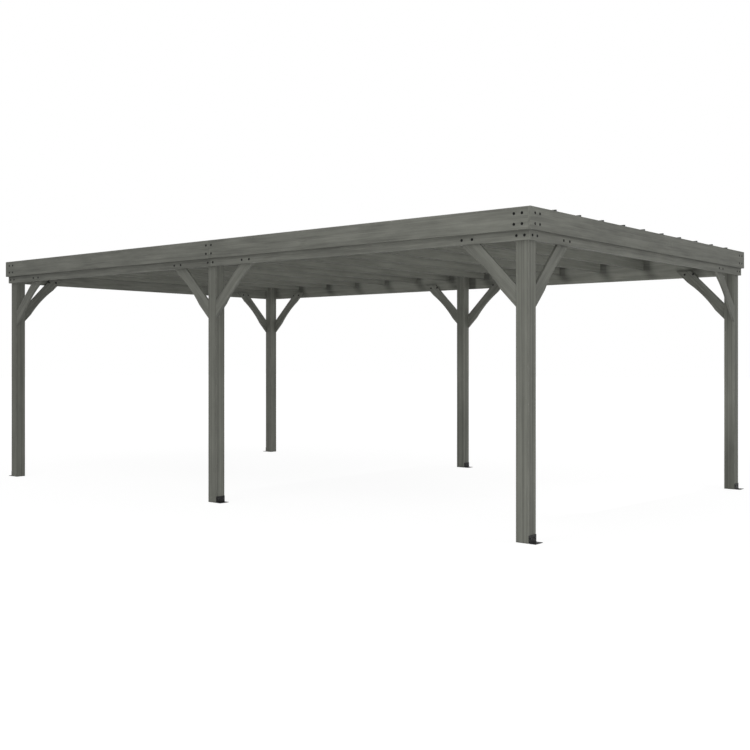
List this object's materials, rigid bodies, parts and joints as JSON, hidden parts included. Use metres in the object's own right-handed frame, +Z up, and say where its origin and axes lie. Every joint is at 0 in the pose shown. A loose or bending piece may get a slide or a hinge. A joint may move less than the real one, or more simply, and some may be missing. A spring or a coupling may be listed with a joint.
{
  "type": "wooden pergola",
  "caption": "Free-standing wooden pergola with square posts, arched knee braces, double edge boards, cross rafters and a flat standing-seam sheet roof.",
  "frame": {"origin": "on the ground, at the middle of the plan", "axes": "+X along the length towards the right end, +Y from the front row of posts to the rear row, +Z up"},
  "size_m": [7.09, 4.342, 2.515],
  "materials": {
    "stained_wood": "planed timber in a matt greenish grey stain",
    "roof_sheet": "dark grey coated sheet steel, satin",
    "black_steel": "black powder-coated steel, satin"
  },
  "bodies": {
    "root": {"post_front_right": "stained_wood", "post_front_middle": "stained_wood", "post_front_left": "stained_wood", "post_rear_right": "stained_wood", "post_rear_middle": "stained_wood", "post_rear_left": "stained_wood", "beam_front_right": "stained_wood", "beam_front_left": "stained_wood", "beam_rear_right": "stained_wood", "beam_rear_left": "stained_wood", "beam_right_end": "stained_wood", "beam_left_end": "stained_wood", "fascia_front_right": "stained_wood", "fascia_front_left": "stained_wood", "fascia_rear_right": "stained_wood", "fascia_rear_left": "stained_wood", "fascia_right_end": "stained_wood", "fascia_left_end": "stained_wood", "brace_front_right": "stained_wood", "brace_front_middle_right": "stained_wood", "brace_front_middle_left": "stained_wood", "brace_front_left": "stained_wood", "brace_rear_right": "stained_wood", "brace_rear_middle_right": "stained_wood", "brace_rear_middle_left": "stained_wood", "brace_rear_left": "stained_wood", "brace_right_end_front": "stained_wood", "brace_right_end_rear": "stained_wood", "brace_left_end_front": "stained_wood", "brace_left_end_rear": "stained_wood", "rafters_right_bay": "stained_wood", "rafters_left_bay": "stained_wood", "roof_panels_front": "roof_sheet", "roof_panels_middle": "roof_sheet", "roof_panels_rear": "roof_sheet", "bracket_front_right": "black_steel", "bracket_front_middle": "black_steel", "bracket_front_left": "black_steel", "bracket_rear_right": "black_steel", "bracket_rear_middle": "black_steel", "bracket_rear_left": "black_steel"}
  },
  "joints": []
}
